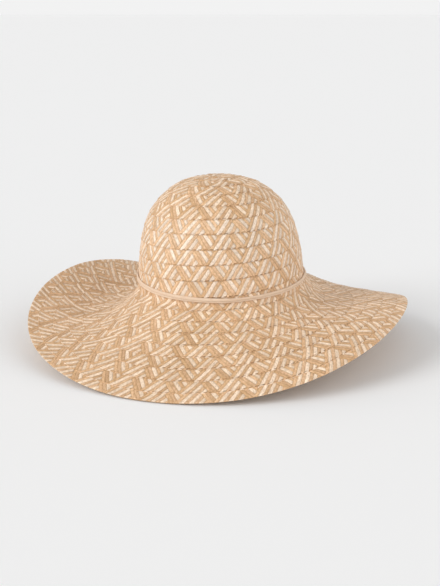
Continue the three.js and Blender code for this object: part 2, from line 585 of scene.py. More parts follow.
@dataclass(frozen=True)
class HatForm:
    """The hat's outer surface, over the angle around it and a row number from the tip outward.

    Angle 0 is at the right and 90 degrees at the back. A whole row number is a lap line in front.
    """

    centre: tuple[float, float, float]
    ring_half_width: float = 88 * MM
    ring_half_length: float = 98 * MM
    ring_turn: float = math.radians(-26)
    ring_rise_right: float = 3 * MM
    ring_rise_back: float = 3 * MM
    crown_height: float = 115 * MM
    side_power: float = 2.4
    top_power: float = 2.75
    flare: float = 0.03
    lean_left: float = 3.8 * MM
    right_swell: float = 1.4 * MM
    ring_row: float = 1.4
    band_tuck: float = 2 * MM
    edge_rows: float = 9.7
    taper: float = 60.0
    folds: tuple[Fold, ...] = (
        Fold(waves=0, crest=0, falls=(47, 19, 9, 14)),
        Fold(waves=1, crest=2, falls=(-2, -6, 8, 14)),
        Fold(waves=2, crest=0, falls=(18, -5, -18, -18)),
        Fold(waves=2, crest=45, falls=(-14, 9, 15, 14)),
        Fold(waves=3, crest=0, falls=(2, -1, -4, -2)),
        Fold(waves=3, crest=30, falls=(3, 2, -2, -2)),
    )
    dip: BackDip = BackDip()

    def ring_radius(self, angle: np.ndarray) -> np.ndarray:
        """Measures the head ring, an oval turned a little.

        Args:
            angle: Angles around the hat.

        Returns:
            The ring's radius at each angle.
        """
        a, b = self.ring_half_width, self.ring_half_length
        turned = angle - self.ring_turn
        return a * b / np.hypot(b * np.cos(turned), a * np.sin(turned))

    def ring_height(self, angle: np.ndarray) -> np.ndarray:
        """Height of the head ring at each angle."""
        return self.ring_rise_right * np.cos(angle) + self.ring_rise_back * np.sin(angle)

    def crown_section(self, angle: float, count: int) -> np.ndarray:
        """Points of the crown from the ring to the tip.

        Args:
            angle: The angle around the hat.
            count: The number of points.

        Returns:
            One point in each row.
        """
        climb = np.linspace(0, 1, count) * math.pi / 2
        across = np.maximum(np.cos(climb), 0.0) ** (2 / self.side_power)
        up = np.sin(climb) ** (2 / self.top_power)
        radius = self.ring_radius(angle) * across * (1 + self.flare * (1 - up) ** 4)
        height = self.ring_height(angle) * (1 - up) + self.crown_height * up
        aside = self.right_swell * across * max(math.cos(angle), 0.0) ** 2 - self.lean_left * up
        return np.stack([radius * math.cos(angle) + aside, radius * math.sin(angle), height], axis=-1)

    def rim_row(self, angle: np.ndarray) -> np.ndarray:
        """Row number of the brim's edge: it grows with the winding and tapers at the back."""
        turn = np.mod(np.degrees(angle) - 90.0, 360.0)
        return self.edge_rows - (turn - 180.0) / 360.0 - (1.0 - smoothstep(turn, 0.0, self.taper))

    def fall(self, angle: float, share: np.ndarray) -> np.ndarray:
        """Adds up the folds and the dip.

        Args:
            angle: The angle around the hat.
            share: Places outward, as shares of the brim's width.

        Returns:
            The fall of the brim at each place, in radians.
        """
        total = np.zeros(share.shape)
        for fold in self.folds:
            here = np.interp(share, (0.0, 1 / 3, 2 / 3, 1.0), fold.falls)
            total += here * math.cos(fold.waves * (angle - math.radians(fold.crest)))
        aside = min(abs(math.degrees(angle) % 360.0 - self.dip.centre) / self.dip.reach, 1.0)
        total += self.dip.fall * np.clip(share, 0, 1) * math.cos(aside * math.pi / 2) ** 2
        return np.radians(total)


@dataclass(frozen=True)
class Wave:
    """A small wave around the hat: its height, its number of crests, its turn from row to row and its start."""

    height: float
    crests: int
    turn: float
    start: float

    def at(self, angle: np.ndarray, row: np.ndarray | float = 0.0) -> np.ndarray:
        """Height of the wave at an angle and a row."""
        return self.height * np.sin(self.crests * angle + self.turn * row + self.start)


class HatSurface:
    """A fine table of the hat's surface, for placing points by angle, row and depth."""

    COLUMNS = 360
    ROW_STEP = 1 / 16
    ROWS_PAST_EDGE = 1.2
    FRONT_POINTS = 2001
    SECTION_POINTS = 1201
    BRIM_STEP = MM / 2
    BRIM_ROWS = 14
    CREASE = 0.20
    FILLET_LEFT = 0.20
    FILLET_RIGHT = 1.25
    FILLET_FADE = 1.5
    POLE = (0.05, 0.5)
    CALM_ROWS = 3
    ROLLS = (Wave(0.28 * MM, 5, 0.9, 0.6), Wave(0.196 * MM, 8, -1.3, 2.1))
    RIPPLES = (Wave(0.22 * MM, 13, 2.2, 0.0), Wave(1.0, 3, -1.1, 1.0))
    EASE = 0.4 * MM
    CLEAR = 0.15 * MM
    MARGIN = 0.001
    LEAST_LENGTH = 1e-12

    def __init__(self, form: HatForm) -> None:
        """Fills the table for a form.

        Args:
            form: The form of the hat.
        """
        self.form = form
        self.front_arc = float(running_length(form.crown_section(1.5 * math.pi, self.FRONT_POINTS))[-1])
        self.tip_row = form.ring_row - (self.front_arc - form.band_tuck) / ROW_PITCH
        last_row = form.edge_rows + self.ROWS_PAST_EDGE
        count = int((last_row - self.tip_row) / self.ROW_STEP) + 2
        self.rows = self.tip_row + np.arange(count) * self.ROW_STEP
        angles = np.arange(self.COLUMNS + 1) * FULL_TURN / self.COLUMNS
        crown, brim = self.rows[self.rows < form.ring_row], self.rows[self.rows >= form.ring_row]
        self.points = np.array([
            np.concatenate([self.crown_points(angle, crown), self.brim_points(angle, brim)]) for angle in angles
        ])
        self.points = self.filleted(angles)
        self.points += self.wobble(angles[:, None], self.rows[None, :])[..., None] * self.raw_normals()
        self.points += np.array(form.centre)
        self.rest_on_floor()
        self.normals = self.eased(self.raw_normals())

    def crown_points(self, angle: float, rows: np.ndarray) -> np.ndarray:
        """Spaces rows evenly along the crown's section.

        Args:
            angle: The angle around the hat.
            rows: The row numbers.

        Returns:
            One point in each row of the array.
        """
        section = self.form.crown_section(angle, self.SECTION_POINTS)
        arc = running_length(section)
        up = self.form.ring_row - rows
        reach = (ROW_PITCH * up + self.form.band_tuck * smoothstep(up, 0.0, self.form.ring_row)) / self.front_arc
        target = np.clip(reach, 0, 1) * arc[-1]
        return np.stack([np.interp(target, arc, section[:, k]) for k in range(3)], axis=1)

    def brim_points(self, angle: float, rows: np.ndarray) -> np.ndarray:
        """Follows the fall of the brim outward from the ring.

        Args:
            angle: The angle around the hat.
            rows: The row numbers.

        Returns:
            One point in each row of the array.
        """
        form = self.form
        width = (float(form.rim_row(angle)) - form.ring_row) * ROW_PITCH
        steps = np.arange(0.0, self.BRIM_ROWS * ROW_PITCH, self.BRIM_STEP)
        fall = form.fall(angle, (steps + self.BRIM_STEP / 2) / width)
        out, down = (
            np.concatenate([[0.0], np.cumsum(part * self.BRIM_STEP)])[:-1] for part in (np.cos(fall), np.sin(fall))
        )
        target = (rows - form.ring_row) * ROW_PITCH
        radius = np.interp(target, steps, form.ring_radius(angle) + out)
        height = np.interp(target, steps, form.ring_height(angle) - down)
        return np.stack([radius * math.cos(angle), radius * math.sin(angle), height], axis=1)

    def filleted(self, angles: np.ndarray) -> np.ndarray:
        """Rounds the crease between crown and brim, most at the right.

        Args:
            angles: The angle of each column of the table.

        Returns:
            The table's points, rounded.
        """
        filled = self.points.copy()
        away = np.abs(self.rows - self.form.ring_row)
        wider = self.FILLET_RIGHT - self.FILLET_LEFT
        for i, angle in enumerate(angles):
            reach = self.FILLET_LEFT + wider * max(0.0, math.cos(angle)) ** self.FILLET_FADE
            half = max(1, round(reach / self.ROW_STEP))
            padded = np.pad(self.points[i], ((half, half), (0, 0)), mode="edge")
            mean = sum(padded[k:k + len(self.rows)] for k in range(2 * half + 1)) / (2 * half + 1)
            share = (1 - smoothstep(away, reach, 2 * reach))[:, None]
            filled[i] = self.points[i] * (1 - share) + mean * share
        return filled

    def wobble(self, angle: np.ndarray, row: np.ndarray) -> np.ndarray:
        """Gives the rows the unevenness of hand sewing.

        Args:
            angle: Angles around the hat.
            row: Row numbers.

        Returns:
            The unevenness along the normal, in metres.
        """
        rolls = sum(wave.at(angle, row) for wave in self.ROLLS)
        ripple = math.prod(wave.at(angle, row) for wave in self.RIPPLES)
        return (rolls + ripple) * smoothstep(row, self.tip_row, self.tip_row + self.CALM_ROWS)

    def rest_on_floor(self) -> None:
        """Raises the points whose underside would be below the floor, easing in over a short height."""
        clearance = self.points[..., 2] - BRAID_WALL * self.raw_normals()[..., 2] - self.CLEAR
        self.points[..., 2] += self.EASE * np.logaddexp(0.0, -clearance / self.EASE)

    def raw_normals(self) -> np.ndarray:
        """Takes the normals from the table's points as they are.

        Returns:
            The outward unit normals.
        """
        points = self.points
        around = np.gradient(np.concatenate([points[-2:-1], points, points[1:2]]), axis=0)[1:-1]
        normal = np.cross(around, -np.gradient(points, axis=1))
        length = np.linalg.norm(normal, axis=2, keepdims=True)
        low, high = (self.tip_row + away for away in self.POLE)
        at_pole = 1 - smoothstep(self.rows, low, high)[None, :, None]
        normal = normal / np.maximum(length, self.LEAST_LENGTH) * (1 - at_pole) + np.array([0.0, 0.0, 1.0]) * at_pole
        return normal / np.linalg.norm(normal, axis=2, keepdims=True)

    def eased(self, normals: np.ndarray) -> np.ndarray:
        """Turns the normals gradually over the crease where the crown meets the brim.

        Args:
            normals: The normals of the table's points.

        Returns:
            The normals, eased near the crease.
        """
        reach = int(self.CREASE / self.ROW_STEP)
        near = np.abs(self.rows - self.form.ring_row) < 2 * self.CREASE
        padded = np.pad(normals, ((0, 0), (reach, reach), (0, 0)), mode="edge")
        mean = sum(padded[:, k:k + normals.shape[1]] for k in range(2 * reach + 1))
        mean /= np.linalg.norm(mean, axis=2, keepdims=True)
        return np.where(near[None, :, None], mean, normals)

    def at(self, angle: np.ndarray, row: np.ndarray, lift: np.ndarray | float) -> tuple[np.ndarray, np.ndarray]:
        """Points and normals on the hat.

        Args:
            angle: Angles in radians, of any size.
            row: Row numbers.
            lift: Distance outside the surface, negative for inside.

        Returns:
            The points and the outward unit normals.
        """
        angle, row = np.broadcast_arrays(angle, row)
        across = np.mod(angle, FULL_TURN) / FULL_TURN * self.COLUMNS
        down = np.clip((row - self.tip_row) / self.ROW_STEP, 0, len(self.rows) - 1 - self.MARGIN)
        i, j = np.minimum(across.astype(int), self.COLUMNS - 1), down.astype(int)
        f, g = (across - i)[..., None], (down - j)[..., None]

        def mixed(table: np.ndarray) -> np.ndarray:
            """Reads a table between its entries.

            Args:
                table: The table.

            Returns:
                Values mixed from the four nearest entries.
            """
            near = table[i, j] * (1 - g) + table[i, j + 1] * g
            far = table[i + 1, j] * (1 - g) + table[i + 1, j + 1] * g
            return near * (1 - f) + far * f

        normal = mixed(self.normals)
        normal /= np.linalg.norm(normal, axis=-1, keepdims=True)
        depth = np.broadcast_to(lift, row.shape)[..., None]
        return mixed(self.points) + normal * depth, normal


# The braid


class FlatRepeat:
    """One flat repeat in the making, of closed tubes: x in repeats, y in rows and z in metres."""

    def __init__(self) -> None:
        """Starts with no tube."""
        self.count = 0
        self.points: list[list[float]] = []
        self.faces: list[list[int]] = []
        self.values: dict[str, list[float]] = {}

    def add_tube(self, rings: np.ndarray, flip: bool, **values: np.ndarray | float) -> None:
        """Adds a tube and closes its ends.

        Args:
            rings: Its points, ring by ring.
            flip: Whether its rings turn the other way round.
            values: Attributes of its points, beside its own number as bar.
        """
        rows, width = rings.shape[:2]
        start = len(self.points)
        last = start + (rows - 1) * width
        faces = (grid_faces(rows, width, True) + start).tolist()
        faces += [list(range(start, start + width))[::-1], list(range(last, last + width))]
        self.faces += [face[::-1] for face in faces] if flip else faces
        self.points += rings.reshape(-1, 3).tolist()
        for name, value in {"bar": self.count, **values}.items():
            self.values.setdefault(name, []).extend(np.broadcast_to(value, (rows, width)).ravel().tolist())
        self.count += 1

    def build(self, name: str) -> Thing:
        """Makes an object of the repeat, with its attributes.

        Args:
            name: The object's name.

        Returns:
            The object, with the attributes of its points.
        """
        piece = mesh_object(name, np.array(self.points), self.faces)
        for key, values in self.values.items():
            store(piece.data, key, "INT" if key == "bar" else "FLOAT", "POINT", np.array(values))
        return piece


@dataclass(frozen=True)
class Bar:
    """One straw that shows in a repeat of the braid.

    Args:
        lean: 1 where it rises to the right, -1 where it rises to the left.
        strand: Where it meets the lower edge, in straw widths along the repeat.
        first: The first crossing it lies over, counted up from the lower edge.
        last: The last crossing it lies over.
        dye: Its straw.
    """

    lean: int
    strand: int
    first: int
    last: int
    dye: Dye


@dataclass(frozen=True)
class StrawEnds:
    """How a straw ends: places from its end in crossings, and depths there in mm."""

    fold: tuple[tuple[float, float], ...] = ((-0.07, -0.68), (-0.05, -0.30), (0.10, -0.05), (0.45, 0.0))
    tuck: tuple[tuple[float, float], ...] = ((-0.26, -0.46), (0.00, -0.26), (0.22, -0.05), (0.50, 0.0))
    lap: tuple[tuple[float, float], ...] = ((-0.55, -0.10), (0.20, 0.0))


@dataclass(frozen=True)
class BraidPattern:
    """One repeat of the braid, as it shows on a row: 8 straws wide and 5 crossings high."""

    straws: int = 8
    crossings: int = 5
    straw_width: float = 4.53 * MM
    thickness: float = 0.42 * MM
    roundness: float = 2.3
    swell: float = 0.07
    end_room: float = 1.6
    least_room: float = 0.05
    fine_span: float = 1.4
    plain_span: int = 2
    shaded_from: float = 0.1
    cream_spread: float = 0.02
    crown_repeats: float = 15.75
    crown_phase: float = 0.95
    brim_phase: float = 0.445
    fine_places: tuple[float, ...] = (0.0, 0.15, 0.5, 0.85, 1.0)
    plain_places: tuple[float, ...] = (0.0, 0.5, 1.0)
    ends: StrawEnds = StrawEnds()
    bars: tuple[Bar, ...] = (
        Bar(lean=1, strand=0, first=0, last=5, dye=Dye.TAN),
        Bar(lean=1, strand=1, first=0, last=5, dye=Dye.CREAM),
        Bar(lean=1, strand=2, first=0, last=5, dye=Dye.DUSKY),
        Bar(lean=1, strand=3, first=0, last=3, dye=Dye.CREAM),
        Bar(lean=1, strand=4, first=0, last=2, dye=Dye.DUSKY),
        Bar(lean=1, strand=5, first=0, last=1, dye=Dye.CREAM),
        Bar(lean=1, strand=6, first=0, last=0, dye=Dye.TAN),
        Bar(lean=-1, strand=7, first=0, last=4, dye=Dye.TAN),
        Bar(lean=-1, strand=8, first=1, last=5, dye=Dye.DUSKY),
        Bar(lean=-1, strand=9, first=2, last=5, dye=Dye.CREAM),
        Bar(lean=-1, strand=10, first=3, last=5, dye=Dye.TAN),
        Bar(lean=-1, strand=11, first=4, last=5, dye=Dye.CREAM),
        Bar(lean=-1, strand=12, first=5, last=5, dye=Dye.DUSKY),
    )

    @property
    def repeat(self) -> float:
        """Length of a repeat along the braid."""
        return self.straws * self.straw_width

    def stations(self, bar: Bar, across: np.ndarray, fine: bool) -> tuple[np.ndarray, np.ndarray]:
        """Cross sections of a bar along its length.

        Args:
            bar: The bar.
            across: Places across the straw, from 0 to 1.
            fine: Whether to use all the cross sections.

        Returns:
            The place along the straw, in crossings, and the depth of each section and place across.
        """
        low = across if bar.first == 0 else np.full(across.shape, float(bar.first))
        high = across + self.crossings if bar.last == self.crossings else np.full(across.shape, bar.last + 1.0)
        room = np.clip((high - low) / self.end_room, self.least_room, 1.0)
        fold, tuck = (end if fine else end[::2] for end in (self.ends.fold, self.ends.tuck))
        lower = fold if bar.first == 0 else tuck
        upper = (self.ends.lap if bar.last == self.crossings else tuck)[::-1]
        rim = across + fold[0][0]
        places = [np.maximum(low + offset * (room if offset > 0 else 1.0), rim) for offset, _ in lower]
        tops = [high - offset * (room if offset > 0 else 1.0) for offset, _ in upper]
        span = bar.last - bar.first
        inner = max(0, round(span / self.fine_span) - 1) if fine else int(span > self.plain_span)
        shares = [k / (inner + 1) for k in range(1, inner + 1)]
        places += [places[-1] * (1 - share) + tops[0] * share for share in shares]
        middle = [self.swell * math.sin(math.pi * share) for share in shares]
        depths = [*(depth for _, depth in lower), *middle, *(depth for _, depth in upper)]
        return np.array(places + tops), np.array(depths) * MM

    def tile(self, name: str, fine: bool) -> Thing:
        """Builds one flat repeat.

        Args:
            name: The object's name.
            fine: Whether to round the straws finely.

        Returns:
            An object with the attributes bar, dye and sunk and the map straw.
        """
        across = np.array(self.fine_places if fine else self.plain_places)
        width = len(across)
        hollow = self.thickness * np.abs(2 * across - 1) ** self.roundness
        crossing_length = math.hypot(self.straw_width / 2, ROW_PITCH / self.crossings) / MM
        flat, places = FlatRepeat(), []
        for bar in self.bars:
            spread = self.cream_spread if bar.dye is Dye.CREAM else 0.0
            q = across * (1 + 2 * spread) - spread
            along, depth = self.stations(bar, q, fine)
            anchor = bar.strand if bar.lean > 0 else bar.strand + 1
            x = (anchor + bar.lean * (q + along) / 2) / self.straws
            y = (along - q) / self.crossings
            z = depth[:, None] - hollow[None, :] + spread * MM
            # How deep each point lies where its straw tucks under, for the painted shade there
            sunk = np.clip(-depth / self.thickness, 0.0, 1.0)[:, None] * (y > self.shaded_from)
            flat.add_tube(np.stack([x, y, z], axis=2), bar.lean < 0, dye=bar.dye.value, sunk=sunk)
            place = np.stack([np.broadcast_to(across, along.shape), along * crossing_length], axis=2)
            places.append(place.reshape(-1, 2))
        piece = flat.build(name)
        mesh = piece.data
        edges = np.empty(len(mesh.edges) * 2, np.int32)
        mesh.edges.foreach_get("vertices", edges)
        at_side = np.isin(np.arange(len(mesh.vertices)) % width, (0, width - 1))
        store(mesh, "sharp_edge", "BOOLEAN", "EDGE", at_side[edges].reshape(-1, 2).all(axis=1))
        store(mesh, "straw", "FLOAT2", "CORNER", np.concatenate(places)[corner_vertices(mesh)])
        return piece


@dataclass(frozen=True)
class StitchPattern:
    """The stitches of one repeat, sewn along the lower edge of a row."""

    count: int = 6
    length: float = 0.115
    row: float = 0.045
    slant: float = 0.012
    radius: float = 0.27 * MM
    end_radius: float = 0.55
    arch: float = 0.12 * MM
    sink: float = 0.14 * MM
    sections: int = 5
    sides: int = 5

    def tile(self, name: str) -> Thing:
        """Builds one flat repeat of stitches.

        Args:
            name: The object's name.

        Returns:
            An object with the attribute bar.
        """
        turn = (np.arange(self.sides) * FULL_TURN / self.sides)[None, :]
        share = np.linspace(0, 1, self.sections)[:, None]
        bulge = np.sin(math.pi * share)
        thick = self.radius * (self.end_radius + (1 - self.end_radius) * bulge)
        y = self.row + thick * np.cos(turn) / ROW_PITCH + self.slant * (share - 0.5)
        z = thick * np.sin(turn) + self.arch * bulge - self.sink
        flat = FlatRepeat()
        for index in range(self.count):
            x = (index + 0.5) / self.count + (share - 0.5) * self.length
            flat.add_tube(np.stack(np.broadcast_arrays(x, y, z), axis=2), True)
        return flat.build(name)


@dataclass(frozen=True)
class Face:
    """What a face of the braid is laid with: a flat repeat, the sheet to follow, and the straws' unevenness."""

    tile: Thing
    guide: Thing
    uneven: float


@dataclass(frozen=True)
class Run:
    """A run of repeats that makes one piece.

    Args:
        name: The piece's name.
        face: What it is laid with.
        first: The first repeat, counted from the braid's outer end.
        last: The repeat after the last.
        seed: The seed for the straws' tones.
        finish: The material.
    """

    name: str
    face: Face
    first: int
    last: int
    seed: int
    finish: bpy.types.Material


class BraidLayer:
    """Winds the braid over the hat: guides for its two faces, and the pieces laid along them."""

    COLUMNS = 180
    # The braid's lower edge follows the winding, then whichever is further in, then the rim alone
    RIM_FROM = 9.25
    RIM_ONLY = 9.5
    END = 0.76
    DROP = 0.5 * MM
    DROP_ROWS = 1.35
    LEAST_ROW = 0.05
    RIM_SHARE = 0.87
    RIM_TUCK = 0.9 * MM
    TUCK_SHARES = (0.75, 1.1)
    SIDE_LAYS = (-3.0, 0.0)
    BRIM_LAY = 3.0
    UNEVEN = {Side.OUTSIDE: 0.12 * MM, Side.INSIDE: 0.10 * MM}
    GUIDE_PLACES = (-0.08, 0.0, 0.15, 0.35, 0.55, 0.75, 0.9, 1.0, 1.14)
    INPUTS = {
        "Geometry": "Geometry", "Guide": "Object", "First repeat": "Float", "Repeats": "Int",
        "Whole braid": "Float", "Unevenness": "Float", "Seed": "Int", "Finish": "Material",
    }
    # The map for baking: lines of repeats, each with room past its end and clear of its neighbours
    MAP_SHAPE = 0.55
    MAP_OVERHANG = 0.5
    MAP_START = 0.02
    MAP_CLEAR = 0.06
    MAP_FILL = 0.88
    MAP_ROWS = (-0.08, 1.18)

    def __init__(self, surface: HatSurface, pattern: BraidPattern) -> None:
        """Measures the braid along its winding.

        Args:
            surface: The hat's surface.
            pattern: The braid's pattern.
        """
        self.surface = surface
        self.pattern = pattern
        self.tree = self.laying_tree()
        tip = surface.tip_row
        last = surface.form.edge_rows + self.END
        self.lays = np.linspace(tip, last, int((last - tip) * self.COLUMNS) + 1)
        low = self.low_row(self.lays)
        middle, _ = surface.at(self.angle(self.lays), (low + np.maximum(low - 1, tip)) / 2, 0.0)
        self.along = self.counted(running_length(middle))

    def counted(self, run: np.ndarray) -> np.ndarray:
        """Counts repeats along the braid, so that the pattern meets the front of each row in its place.

        Args:
            run: Length along the braid from the tip, at each place in the winding.

        Returns:
            Repeats from the outer end, where the count is between 0 and 1.
        """
        pattern = self.pattern
        knots = np.interp([*self.SIDE_LAYS, self.BRIM_LAY], self.lays, run)
        top, side = (-pattern.crown_repeats * lay for lay in self.SIDE_LAYS)
        target = pattern.brim_phase - knots[2] / pattern.repeat - pattern.crown_phase
        brim = target + round(side - (knots[2] - knots[1]) / pattern.repeat - target)
        first = top + knots[0] / pattern.repeat
        last = brim - (run[-1] - knots[2]) / pattern.repeat
        count = np.interp(run, [0.0, *knots, run[-1]], [first, top, side, brim, last]) + pattern.crown_phase
        return count - math.floor(float(count[-1]))

    def angle(self, lay: np.ndarray) -> np.ndarray:
        """Angle around the hat at a place in the winding, in turns."""
        return 1.5 * math.pi - FULL_TURN * lay

    def low_row(self, lay: np.ndarray) -> np.ndarray:
        """Row number of the braid's lower edge at a place in the winding."""
        rim = self.surface.form.rim_row(self.angle(lay))
        return np.where(lay > self.RIM_ONLY, rim, np.where(lay > self.RIM_FROM, np.minimum(lay, rim), lay))

    def repeat_at(self, lay: float) -> int:
        """Number of the repeat nearest to a place in the winding, counted from the outer end."""
        return int(round(float(np.interp(lay, self.lays, self.along))))

    def face(self, side: Side) -> Face:
        """Makes what one face of the braid is laid with."""
        tile = self.pattern.tile(f"{side.value}_repeat", side is Side.OUTSIDE)
        return Face(tile, self.guide(side), self.UNEVEN[side])

    def guide(self, side: Side) -> Thing:
        """Builds the sheet that one face of the braid follows.

        Args:
            side: The face.

        Returns:
            A sheet with the map lay, along the braid and across it from 0 to 1, and the attribute up.
        """
        tip = self.surface.tip_row
        across = np.array(self.GUIDE_PLACES)[None, :]
        low = self.low_row(self.lays)[:, None]
        before = np.maximum(self.low_row(self.lays - 1), tip)[:, None]
        shown = np.clip(low - before, self.LEAST_ROW, 1.0)
        if side is Side.OUTSIDE:
            width = np.clip(low - tip, 0.0, 1.0)
            row = low - across * width
            lift = -self.DROP * np.clip(across * width / shown, 0.0, self.DROP_ROWS)
        else:
            at_rim = (self.lays > self.lays[-1] - 1.0)[:, None]
            row = (low - shown) + across * shown * np.where(at_rim, self.RIM_SHARE, 1.0)
            tuck = self.RIM_TUCK * smoothstep(across, *self.TUCK_SHARES) * at_rim
            lift = -BRAID_WALL + self.DROP * np.clip(across, 0.0, 1.0) + tuck
        points, normals = self.surface.at(self.angle(self.lays)[:, None], np.maximum(row, tip), lift)
        if side is Side.INSIDE:
            normals = -normals
        faces = grid_faces(*points.shape[:2], False).tolist()
        sheet = mesh_object(f"guide_{side.value}", points.reshape(-1, 3), faces)
        first, last = self.GUIDE_PLACES[0], self.GUIDE_PLACES[-1]
        place = np.stack(np.broadcast_arrays(
            (self.along / self.along[0])[:, None], (across - first) / (last - first),
        ), axis=2).reshape(-1, 2)
        store(sheet.data, "lay", "FLOAT2", "CORNER", place[corner_vertices(sheet.data)])
        store(sheet.data, "up", "FLOAT_VECTOR", "POINT", normals.reshape(-1, 3))
        return sheet

    def laying_tree(self) -> bpy.types.NodeTree:
        """The node tree that lays a flat repeat along a guide.

        Returns:
            A tree with named inputs for the guide, the run of repeats, the seed and the finish.
        """
        tree = bpy.data.node_groups.new("lay_braid", "GeometryNodeTree")
        for name, kind in self.INPUTS.items():
            tree.interface.new_socket(name, in_out="INPUT", socket_type="NodeSocket" + kind)
        tree.interface.new_socket("Geometry", in_out="OUTPUT", socket_type="NodeSocketGeometry")
        sheet = NodeSheet(tree)

        def attribute(name: str, kind: str) -> Socket:
            """Reads an attribute in the tree."""
            return sheet.add("GeometryNodeInputNamedAttribute", {0: name}, data_type=kind).outputs[0]

        def kept(shape: Socket, name: str, kind: str, value: Socket, domain: str = "POINT") -> Socket:
            """Stores an attribute on a shape in the tree."""
            inputs = {"Geometry": shape, "Name": name, "Value": value}
            return sheet.add("GeometryNodeStoreNamedAttribute", inputs, data_type=kind, domain=domain).outputs[0]

        given = sheet.add("NodeGroupInput").outputs
        start = sheet.add("ShaderNodeCombineXYZ", {0: given["First repeat"]}).outputs[0]
        line = sheet.add("GeometryNodeMeshLine", {
            "Count": given["Repeats"], "Start Location": start, "Offset": (1.0, 0.0, 0.0),
        }).outputs[0]
        laid = sheet.add("GeometryNodeInstanceOnPoints", {"Points": line, "Instance": given["Geometry"]}).outputs[0]
        number = sheet.add("GeometryNodeInputIndex").outputs[0]
        counted = kept(laid, "repeat", "INT", number, "INSTANCE")
        braid = sheet.add("GeometryNodeRealizeInstances", {0: counted}).outputs[0]

        # Every straw gets its own number, and from it a tone and a little unevenness
        own = sheet.maths("MULTIPLY_ADD", attribute("repeat", "INT"), float(BARS_MAX), attribute("bar", "INT"))
        tone = sheet.add("FunctionNodeRandomValue", {7: own, 8: given["Seed"]}).outputs[1]
        here = sheet.add("GeometryNodeInputPosition").outputs[0]
        x, y, z = sheet.add("ShaderNodeSeparateXYZ", {0: here}).outputs
        for name, kind, value in (("tone", "FLOAT", tone), ("row", "FLOAT", y), ("flat", "FLOAT_VECTOR", here)):
            braid = kept(braid, name, kind, value)

        guide = sheet.add("GeometryNodeObjectInfo", {0: given["Guide"]}).outputs["Geometry"]
        lay, up = (attribute(name, "FLOAT_VECTOR") for name in ("lay", "up"))
        first, last = self.GUIDE_PLACES[0], self.GUIDE_PLACES[-1]
        where = sheet.add("ShaderNodeCombineXYZ", {
            0: sheet.maths("DIVIDE", x, given["Whole braid"]),
            1: sheet.scaled(y, 1 / (last - first), -first / (last - first)),
        }).outputs[0]
        place, upward = (
            sheet.add(
                "GeometryNodeSampleUVSurface", {0: guide, 1: value, 2: lay, 3: where}, data_type="FLOAT_VECTOR",
            ).outputs[0]
            for value in (here, up)
        )
        height = sheet.maths("MULTIPLY_ADD", sheet.maths("SUBTRACT", tone, 0.5), given["Unevenness"], z)
        raised = sheet.vector("SCALE", {0: upward, "Scale": height})
        target = sheet.vector("ADD", {0: place, 1: raised})
        moved = sheet.add("GeometryNodeSetPosition", {0: braid, 2: target}).outputs[0]
        dressed = sheet.add("GeometryNodeSetMaterial", {0: moved, 2: given["Finish"]}).outputs[0]
        sheet.add("NodeGroupOutput", {0: dressed})
        return tree

    def lay(self, run: Run) -> Thing:
        """Lays a run of repeats along its guide and turns them into a plain mesh.

        Args:
            run: The run.

        Returns:
            The finished piece.
        """
        holder = add_object(run.name + "_flat", run.face.tile.data.copy())
        modifier = holder.modifiers.new("lay", "NODES")
        modifier.node_group = self.tree
        values = {
            "Guide": run.face.guide, "First repeat": float(run.first), "Repeats": run.last - run.first,
            "Whole braid": float(self.along[0]), "Unevenness": run.face.uneven, "Seed": run.seed,
            "Finish": run.finish,
        }
        for item in self.tree.interface.items_tree:
            if item.in_out == "INPUT" and item.name in values:
                modifier[item.identifier] = values[item.name]
        holder.update_tag()
        graph = bpy.context.evaluated_depsgraph_get()
        mesh = bpy.data.meshes.new_from_object(
            holder.evaluated_get(graph), preserve_all_data_layers=True, depsgraph=graph,
        )
        mesh.name = run.name
        bpy.data.objects.remove(holder)
        self.trim(mesh)
        self.bake_map(mesh, run)
        return add_object(run.name, mesh)

    def trim(self, mesh: bpy.types.Mesh) -> None:
        """Takes away the straws that would start before the tip or run past the outer end.

        Args:
            mesh: The mesh of a laid run.
        """
        x = stored(mesh, "flat")[:, 0]
        wrong = (x > self.along[0]) | (x < self.along[-1])
        if not wrong.any():
            return
        own = stored(mesh, "repeat") * BARS_MAX + stored(mesh, "bar")
        gone = np.isin(own, np.unique(own[wrong]))
        work = bmesh.new()
        work.from_mesh(mesh)
        work.verts.ensure_lookup_table()
        bmesh.ops.delete(work, geom=[work.verts[i] for i in np.flatnonzero(gone)], context="VERTS")
        work.to_mesh(mesh)
        work.free()

    def bake_map(self, mesh: bpy.types.Mesh, run: Run) -> None:
        """Gives a laid piece a map of its own that packs the braid in lines, and drops what it was made from.

        Args:
            mesh: The piece's mesh.
            run: The run that it was laid from.
        """
        flat, repeat = stored(mesh, "flat"), stored(mesh, "repeat")
        count = run.last - run.first
        per_line = max(1, math.ceil(math.sqrt(count * self.MAP_SHAPE)))
        line = repeat // per_line
        x = (flat[:, 0] - run.first - line * per_line + self.MAP_START) / (per_line + self.MAP_OVERHANG)
        low, high = self.MAP_ROWS
        share = (flat[:, 1] - low) / (high - low)
        y = (line + self.MAP_CLEAR + share * self.MAP_FILL) / math.ceil(count / per_line)
        store_map(mesh, "OFBake", np.stack([x, y], axis=1))
        for name in ("flat", "repeat", "bar"):
            mesh.attributes.remove(mesh.attributes[name])


# The pieces


